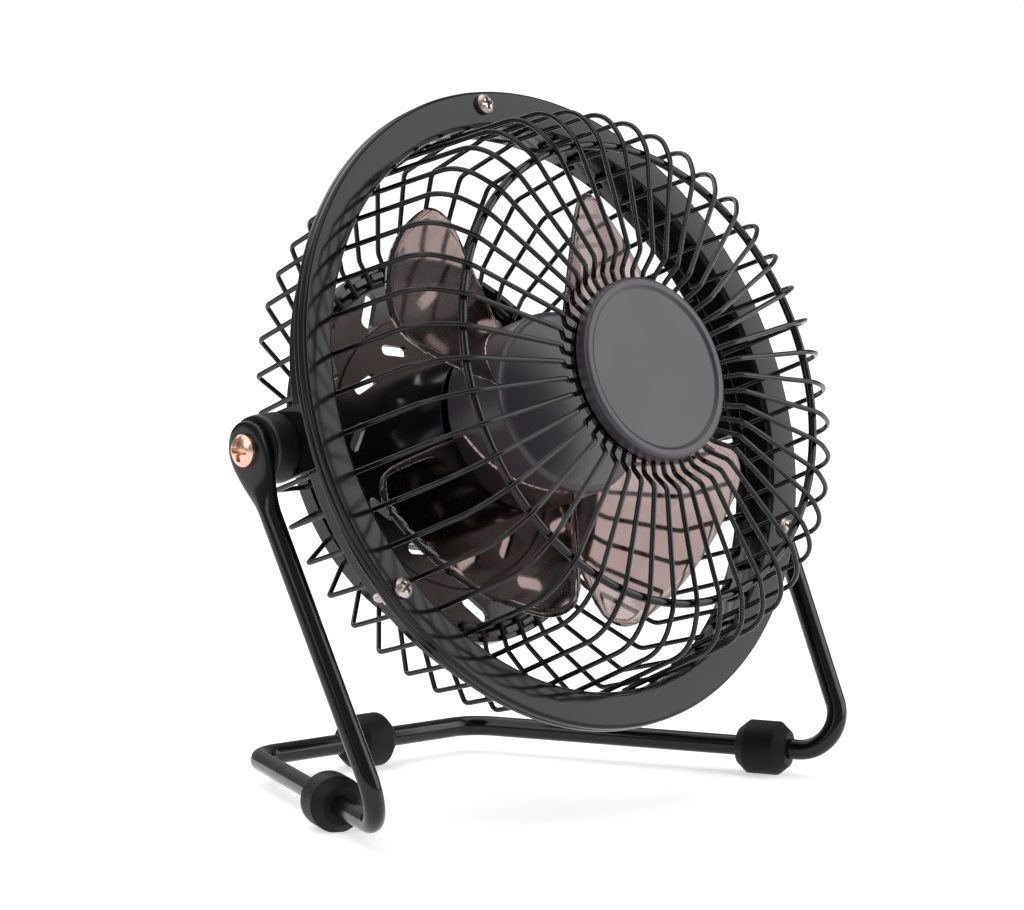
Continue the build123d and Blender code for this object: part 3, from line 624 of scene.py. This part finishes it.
class FAN_OT_stand(bpy.types.Operator):
    """Bend the stand from one rod with a flattened ear at each end"""
    bl_idname = "fan.stand"
    bl_label = "Rod stand"
    bl_options = {"REGISTER", "UNDO"}

    def execute(self, context):
        sizes = context.scene.fan_stand
        rod, ear, half_sheet = sizes.rod / MM, sizes.ear / MM, sizes.ear_sheet / MM / 2
        pivot = Vector((0, PIVOT.y / MM, PIVOT.z / MM))
        front = Vector((-FRONT_X, pivot.y + FRONT_Y, ROD_Z))
        rear = Vector((-REAR_X, pivot.y + REAR_Y, ROD_Z))
        centre = pivot + Vector((-EAR_X, 0, 0))
        down = Vector((0, FRONT_Y, ROD_Z - pivot.z)).normalized()
        ear_run = 14.0

        # Stations of the left half: place on the line, half thickness, half width, squareness of the section.
        stations = []
        for along in (-5.98, -5.9, -5.7, -5.3, -4.6, -3.6, -2.4, -1.2, 0.0):
            width = ear * math.sqrt(max(1 - (along / ear) ** 2, 0))
            edge = min(1.0, 0.62 + 0.38 * math.sqrt(min((along + ear) / 0.6, 1)))
            stations.append((centre + down * along, half_sheet * edge, max(width, 0.3), 4.0))
        taper = ((2.0, 5.85, 1.1, 4.0), (4.5, 5.3, 1.1, 4.0), (7.0, 4.6, 1.15, 3.6), (9.0, 3.8, 1.4, 3.0),
                 (11.0, 3.0, 1.75, 2.5), (12.8, 2.5, 2.1, 2.1))
        for along, width, thick, square in taper:
            stations.append((centre + down * along, thick * half_sheet / 1.1, width, square))
        path = bent_path([centre + down * ear_run, front, rear, Vector((0, rear.y, ROD_Z))],
                         [sizes.front_bend / MM, sizes.rear_bend / MM], 14)
        stations += [(point, rod, rod, 2.0) for point in path]

        sides = 40
        across = Vector((1, 0, 0))
        rings = []
        for i, (point, thick, width, square) in enumerate(stations):
            before, after = stations[max(i - 1, 0)][0], stations[min(i + 1, len(stations) - 1)][0]
            heading = Vector((1, 0, 0)) if i == len(stations) - 1 else (after - before).normalized()
            across = (across - heading * across.dot(heading)).normalized()
            beside = heading.cross(across)
            ring = []
            for k in range(sides):
                a = math.tau * k / sides
                c, s = math.cos(a), math.sin(a)
                swell = (abs(c) ** square + abs(s) ** square) ** (-1 / square)
                ring.append(point + across * thick * c * swell + beside * width * s * swell)
            rings.append(ring)
        mirrored = [[Vector((-v.x, v.y, v.z)) for v in ring] for ring in rings[-2::-1]]
        rings += mirrored
        far_centre = Vector((EAR_X, centre.y, centre.z))
        verts = [v for ring in rings for v in ring] + [centre + down * -ear, far_centre + down * -ear]
        faces = []
        for i in range(len(rings) - 1):
            for k in range(sides):
                j = (k + 1) % sides
                faces.append([i * sides + k, i * sides + j, (i + 1) * sides + j, (i + 1) * sides + k])
        last = (len(rings) - 1) * sides
        for k in range(sides):
            j = (k + 1) % sides
            faces += [[k, j, len(verts) - 2], [last + j, last + k, len(verts) - 1]]
        piece(mesh_from("stand_bent_rod", verts, faces), stoving_enamel(), "stand", "black_lacquer",
              "stand_rod")
        return {"FINISHED"}


class FAN_OT_feet(bpy.types.Operator):
    """Mould the three rubber feet on the rod"""
    bl_idname = "fan.feet"
    bl_label = "Rubber feet"
    bl_options = {"REGISTER", "UNDO"}

    def execute(self, context):
        sizes = context.scene.fan_stand
        inset = 0.01        # keeps the smooth foot inside the part's own box
        half, radius, bore = sizes.foot_length / MM / 2, sizes.foot / MM - inset, sizes.rod / MM
        end, chamfer = 4.0, 2.4
        outline = rounded([(bore, -half, 0), (end, -half, 0.5), (radius, chamfer - half, 0.6),
                           (radius, half - chamfer, 0.6), (end, half, 0.5), (bore, half, 0)])
        rail = Vector((FRONT_X - REAR_X, REAR_Y - FRONT_Y, 0)).normalized()
        for name, along in (("foot_front_left", rail), ("foot_front_right", Vector((-rail.x, rail.y, 0))),
                            ("foot_rear", Vector((1, 0, 0)))):
            verts, faces = turned(outline, 72)
            centre = middle(name)
            centre.z = ROD_Z * MM
            turned_along = Vector((0, 0, 1)).rotation_difference(along).to_matrix().to_4x4()
            place = Matrix.Translation(centre) @ turned_along
            mesh = mesh_from(name + "_bush", verts, faces, place)
            for vertex in mesh.vertices:
                vertex.co.z = max(vertex.co.z, 0.0)
            piece(mesh, moulded_rubber(), "stand", "black_rubber", name)
        return {"FINISHED"}


class FAN_OT_rings(bpy.types.Operator):
    """Press the two flange rings of the cage"""
    bl_idname = "fan.rings"
    bl_label = "Flange rings"
    bl_options = {"REGISTER", "UNDO"}

    def execute(self, context):
        cage = context.scene.fan_cage
        ring, hole, sheet = cage.ring / MM, cage.opening / MM, cage.sheet / MM
        face, seam = cage.face / MM, cage.seam / MM
        front = rounded([
            (hole, 9.5, 0.3), (hole, face, 1.3), (ring, face, 1.5), (ring, seam + 0.15, 0.3),
            (ring - sheet, seam + 0.15, 0.2), (ring - sheet, face - sheet, 0.7),
            (hole + sheet, face - sheet, 0.5), (hole + sheet, 9.5, 0.3)], 6)
        piece(mesh_from("flange_front_ring", *turned(front, 256), HEAD), gloss_enamel(), "head",
              "satin_black_paint", "front_ring")
        inner = hole + sheet + 0.1
        rear = rounded([
            (inner, 5.0, 0.3), (inner, seam, 0.2), (ring, seam, 0.7), (ring, seam - 1.6, 0.3),
            (ring - sheet, seam - 1.6, 0.3), (ring - sheet, seam - sheet, 0.4),
            (inner + sheet, seam - sheet, 0.4), (inner + sheet, 5.0, 0.3)], 5)
        piece(mesh_from("flange_rear_ring", *turned(rear, 256), HEAD), stoving_enamel(), "head",
              "black_lacquer", "rear_ring")
        return {"FINISHED"}


class FAN_OT_guards(bpy.types.Operator):
    """Bend and weld the wires of the front and rear guards"""
    bl_idname = "fan.guards"
    bl_label = "Wire guards"
    bl_options = {"REGISTER", "UNDO"}

    def execute(self, context):
        cage = context.scene.fan_cage
        enamel = stoving_enamel()
        wire, ring_wire = cage.wire / MM, cage.ring_wire / MM
        front = bent_wire([(cage.opening / MM - wire, 10.0, 0), (58.9, 39.9, 10.0), (50.1, 44.61, 12.0),
                           (26.0, 46.2, 2.5), (22.3, 43.0, 2.0), (15.5, 43.0, 0)])
        piece(in_a_ring("front_guard_radials", front, enamel, cage.wires, cage.front_phase, wire=cage.wire),
              enamel, "head", "black_lacquer", "front_guard_wires")
        lip = -18.5
        rear = bent_wire([(63.0 - wire, 8.5, 0), (60.4, -9.8, 2.5), (45.5, lip + wire, 3.0),
                          (38.8, lip + wire, 0)])
        piece(in_a_ring("rear_guard_radials", rear, enamel, cage.wires, cage.rear_phase, wire=cage.wire),
              enamel, "head", "black_lacquer", "rear_guard_wires")
        for name, radius, height, source in (("front_guard_ring", 49.5, 42.9, "front_mid_ring"),
                                             ("rear_guard_ring", 39.5, lip - ring_wire, "rear_hub_ring")):
            shape = turned(circle_profile(radius, height, ring_wire), 192)
            piece(mesh_from(name, *shape, HEAD), enamel, "head", "black_lacquer", source)
        dress(enamel, "front_hub_plate")
        return {"FINISHED"}


class FAN_OT_cap(bpy.types.Operator):
    """Press the solid cap that closes the front guard"""
    bl_idname = "fan.cap"
    bl_label = "Front cap"
    bl_options = {"REGISTER", "UNDO"}

    def execute(self, context):
        radius = context.scene.fan_cage.cap / MM
        outline = rounded([
            (0, 46.5, 0), (radius - 2.5, 46.5, 1.2), (radius - 1.9, 47.0, 0.8), (radius, 47.0, 1.7),
            (radius, 43.75, 0.25), (radius - 1.2, 43.75, 0.25), (radius - 1.2, 45.3, 0.5), (3.2, 45.3, 0),
            (3.2, 42.45, 0), (1.0, 42.45, 0),
            (1.0, 45.05, 0), (0, 45.05, 0)], 7)
        piece(mesh_from("front_cap_pressing", *turned(outline, 160), HEAD), satin_paint(), "head",
              "satin_black_paint", "front_cap")
        dress(nickel_plate(), "cap_screw")
        return {"FINISHED"}


class FAN_OT_flange_screws(bpy.types.Operator):
    """Set the flange screws in their circle"""
    bl_idname = "fan.flange_screws"
    bl_label = "Flange screws"
    bl_options = {"REGISTER", "UNDO"}

    def execute(self, context):
        cage = context.scene.fan_cage
        screw = pan_screw("pan_head_screw", 2.2, 1.6, 1.25, 8.0, 2.7, 0.62)
        mesh = in_a_ring("flange_pan_screws", screw, nickel_plate(), cage.screws, math.radians(91.5),
                         cage.screw_circle, cage.face)
        piece(mesh, nickel_plate(), "head", "nickel_plate", "flange_screws")
        dress(nickel_plate(), "flange_nuts")
        return {"FINISHED"}


class FAN_OT_pivots(bpy.types.Operator):
    """Build the tilting joint on each side"""
    bl_idname = "fan.pivots"
    bl_label = "Pivots"
    bl_options = {"REGISTER", "UNDO"}

    def execute(self, context):
        for side, hand in ((-1, "left"), (1, "right")):
            out = Vector((side, 0, 0))
            ahead = Vector((0, 1, 0))
            place = Matrix.Translation(PIVOT) @ Matrix((ahead, out.cross(ahead), out)).transposed().to_4x4()
            softened("bracket_" + hand, "pivot_bracket_" + hand, stoving_enamel(), "head", "black_lacquer",
                     0.3)
            boss = rounded([(1.8, 65.7, 0), (7.4, 65.7, 0.4), (7.1, 71.4, 0.9), (1.8, 71.4, 0)], 5)
            piece(mesh_from("boss_" + hand, *turned(boss, 96), place), textured_abs(), "head",
                  "black_plastic", "pivot_boss_" + hand)
            washer = rounded([(1.9, 71.4, 0.1), (6.9, 71.4, 0.2), (6.9, 71.98, 0.2), (1.9, 71.98, 0.1)], 3)
            piece(mesh_from("washer_" + hand, *turned(washer, 96), place), moulded_rubber(), "head",
                  "black_rubber", "friction_washer_" + hand)
            screw = pan_screw("pivot_screw", 3.4, 2.2, 1.7, 7.3, 4.2, 0.95, 0.4, 0.7)
            screw.transform(Matrix.Translation((0, 0, 74.22 * MM)))
            screw.name = "tilt_screw_" + hand
            piece(settled(screw, place), yellow_zinc(), "head", "yellow_zinc", "pivot_screw_" + hand)
        return {"FINISHED"}


class FAN_OT_wheel(bpy.types.Operator):
    """Mould the smoky fan wheel with its hub, ribs and blades"""
    bl_idname = "fan.wheel"
    bl_label = "Fan wheel"
    bl_options = {"REGISTER", "UNDO"}

    def blade(self, hub, tip, thickness):
        """One twisted blade in metres: up is Y and forward is Z, cut to the hub and to the tip circle."""
        sections = ((19.2, 13.0, 6.0, 19.5, 1.0), (34.0, 21.0, 5.6, 21.6, 2.2), (51.0, 28.5, 6.6, 23.4, 3.2))

        def between(out, which):
            """Smooth curve through one size of the three sections."""
            total = 0.0
            for i, here in enumerate(sections):
                share = 1.0
                for j, other in enumerate(sections):
                    if i != j:
                        share *= (out - other[0]) / (here[0] - other[0])
                total += share * here[which]
            return total

        def surface(u, v):
            """Point of the blade's rear face, u from edge to edge and v from hub to tip."""
            corner = max(abs(u) - 0.68, 0.0) / 0.32
            reach = hub + (tip - hub - 8.0 * (1 - math.sqrt(max(1 - corner * corner, 0.0)))) * v
            low, high = 5.0, tip + 1
            for _ in range(40):
                out = (low + high) / 2
                if math.hypot(out, u * between(out, 1)) < reach:
                    low = out
                else:
                    high = out
            rear, front, camber = (between(out, k) for k in (2, 3, 4))
            w = (rear + front) / 2 - camber * (1 - u * u) + (rear - front) / 2 * u
            return Vector((u * between(out, 1), out, w))

        columns, rows = 30, 18
        shift = lambda t: t * t * (3 - 2 * t)
        us = [2 * (0.35 * i / columns + 0.65 * shift(i / columns)) - 1 for i in range(columns + 1)]
        vs = [0.6 * i / rows + 0.4 * (1 - (1 - i / rows) ** 2) for i in range(rows + 1)]
        verts, faces = [], []
        for face in (0, 1):
            for v in vs:
                for u in us:
                    base = surface(u, v)
                    near_edge = max(0.0, abs(u) - 0.93) / 0.07
                    near_tip = max(0.0, v - 0.965) / 0.035
                    thin = math.sqrt(max(1 - min(max(near_edge, near_tip), 0.97) ** 2, 0))
                    half = thickness / 2 * (0.25 + 0.75 * thin)
                    verts.append((base.x, base.y, base.z + thickness / 2 + (half if face else -half)))
        wide = columns + 1
        sheet = wide * (rows + 1)
        for r in range(rows):
            for c in range(columns):
                a = r * wide + c
                quad = [a, a + 1, a + wide + 1, a + wide]
                faces += [quad[::-1], [q + sheet for q in quad]]
        rim = ([c for c in range(columns)] + [r * wide + columns for r in range(rows)]
               + [rows * wide + c for c in range(columns, 0, -1)] + [r * wide for r in range(rows, 0, -1)])
        for a, b in zip(rim, rim[1:] + rim[:1]):
            faces.append([a, b, b + sheet, a + sheet])
        mesh = bpy.data.meshes.new("blade")
        mesh.from_pydata([(x * MM, y * MM, z * MM) for x, y, z in verts], [], faces)
        return mesh

    def execute(self, context):
        sizes = context.scene.fan_wheel_sizes
        hub, tip = sizes.hub / MM, sizes.tip / MM
        smoke = smoke_styrene()
        outline = rounded([
            (hub - 1.6, 3.5, 0.3), (hub, 3.5, 0.4), (hub, 21.0, 1.8), (0, 21.0, 0), (0, 19.0, 0),
            (2.6, 19.0, 0), (2.6, 5.0, 0), (4.2, 5.0, 0.3), (4.2, 19.0, 0.3), (hub - 1.6, 19.0, 0.8)], 5)
        piece(mesh_from("wheel_hub", *turned(outline, 128), HEAD), deep_smoke(), "wheel", "smoke_plastic",
              "fan_wheel")
        blade = self.blade(hub + 0.01, tip, sizes.blade / MM)
        piece(in_a_ring("wheel_blades", blade, smoke, sizes.blades, sizes.clocking, sharp=60), smoke, "wheel",
              "smoke_plastic", "fan_wheel")
        rib = bmesh.new()
        bmesh.ops.create_cube(rib, size=1.0, matrix=Matrix.Diagonal((14.0 * MM, 1.0 * MM, 4.9 * MM, 1)))
        bmesh.ops.bevel(rib, geom=rib.edges[:], offset=0.15 * MM, segments=2, affect="EDGES")
        rib_mesh = bpy.data.meshes.new("rib")
        rib.to_mesh(rib_mesh)
        rib.free()
        piece(in_a_ring("wheel_ribs", rib_mesh, smoke, sizes.ribs, math.pi / sizes.ribs, 11.3 * MM,
                        16.5 * MM), smoke, "wheel", "smoke_plastic", "fan_wheel")
        dress(drawn_steel(), "hub_insert", "motor_shaft")
        return {"FINISHED"}


class FAN_OT_motor(bpy.types.Operator):
    """Finish the motor and its housing"""
    bl_idname = "fan.motor"
    bl_label = "Motor"
    bl_options = {"REGISTER", "UNDO"}

    def execute(self, context):
        softened("motor_drum", "motor_housing", polished_abs(), "head", "gloss_black_plastic", 0.5)
        dress(drawn_steel(), "motor_can", "armature_core")
        dress(sintered_bronze(), "front_bush", "rear_bush")
        dress(enamelled_copper(), "armature_windings", "commutator")
        dress(ferrite(), "motor_magnets")
        dress(carbon_brush(), "motor_brushes")
        dress(textured_abs(), "motor_end_cap")
        return {"FINISHED"}


class FAN_OT_rear_cover(bpy.types.Operator):
    """Round the edges of the vented rear cover and finish it"""
    bl_idname = "fan.rear_cover"
    bl_label = "Vented rear cover"
    bl_options = {"REGISTER", "UNDO"}

    def execute(self, context):
        softened("vented_cover", "rear_cover", polished_abs(), "head", "gloss_black_plastic", 0.3)
        return {"FINISHED"}


class FAN_OT_switch_housing(bpy.types.Operator):
    """Finish the housing behind the cover, with its screws"""
    bl_idname = "fan.switch_housing"
    bl_label = "Switch housing"
    bl_options = {"REGISTER", "UNDO"}

    def execute(self, context):
        softened("housing_cup", "switch_housing", textured_abs(), "head", "black_plastic", 0.2)
        screw = pan_screw("housing_screw", 1.9, 1.2, 0.98, 12.0, 2.3, 0.55)
        screw.transform(Matrix.Rotation(math.pi, 4, "X"))
        mesh = in_a_ring("housing_pan_screws", screw, nickel_plate(), 3, math.radians(90), 15.3 * MM,
                         -34.0 * MM)
        piece(mesh, nickel_plate(), "head", "nickel_plate", "housing_screws")
        return {"FINISHED"}


class FAN_OT_switch(bpy.types.Operator):
    """Finish the rocker switch"""
    bl_idname = "fan.switch"
    bl_label = "Rocker switch"
    bl_options = {"REGISTER", "UNDO"}

    def execute(self, context):
        softened("switch_bezel", "switch_body", textured_abs(), "head", "black_plastic", 0.2)
        softened("rocker_key", "switch_rocker", polished_abs(), "rocker", "gloss_black_plastic", 0.25)
        dress(nickel_plate(), "switch_terminals")
        return {"FINISHED"}


class FAN_OT_inlet(bpy.types.Operator):
    """Finish the power inlet, its board and the leads"""
    bl_idname = "fan.inlet"
    bl_label = "Inlet and leads"
    bl_options = {"REGISTER", "UNDO"}

    def execute(self, context):
        softened("inlet_can", "inlet_shell", nickel_plate(), "head", "nickel_plate", 0.1)
        dress(textured_abs(), "inlet_core")
        dress(solder_mask(), "circuit_board")
        dress(red_pvc(), "lead_red", "lead_link")
        dress(black_pvc(), "lead_black")
        return {"FINISHED"}


OPERATORS = (
    FAN_OT_stage, FAN_OT_stand, FAN_OT_feet, FAN_OT_rings, FAN_OT_guards, FAN_OT_cap, FAN_OT_flange_screws,
    FAN_OT_pivots, FAN_OT_wheel, FAN_OT_motor, FAN_OT_rear_cover, FAN_OT_switch_housing, FAN_OT_switch,
    FAN_OT_inlet,
)


class FAN_PT_pieces(bpy.types.Panel):
    """Sizes, colours and pieces of the desk fan"""
    bl_label = "Desk Fan"
    bl_idname = "FAN_PT_pieces"
    bl_space_type = "VIEW_3D"
    bl_region_type = "UI"
    bl_category = "Desk Fan"

    def draw(self, context):
        for group, name in SETTINGS.items():
            box = self.layout.box()
            box.label(text=group.__doc__)
            for field in group.__annotations__:
                box.prop(getattr(context.scene, name), field)
        for kind in OPERATORS:
            self.layout.operator(kind.bl_idname)


def register():
    for kind in GROUPS + OPERATORS + (FAN_PT_pieces,):
        bpy.utils.register_class(kind)
    for group, name in SETTINGS.items():
        setattr(bpy.types.Scene, name, bpy.props.PointerProperty(type=group))


def unregister():
    for name in SETTINGS.values():
        delattr(bpy.types.Scene, name)
    for kind in reversed(GROUPS + OPERATORS + (FAN_PT_pieces,)):
        bpy.utils.unregister_class(kind)


def main():
    """Build every piece in order."""
    register()
    for kind in OPERATORS:
        getattr(bpy.ops.fan, kind.bl_idname.split(".")[1])()


if __name__ == "__main__":
    main()
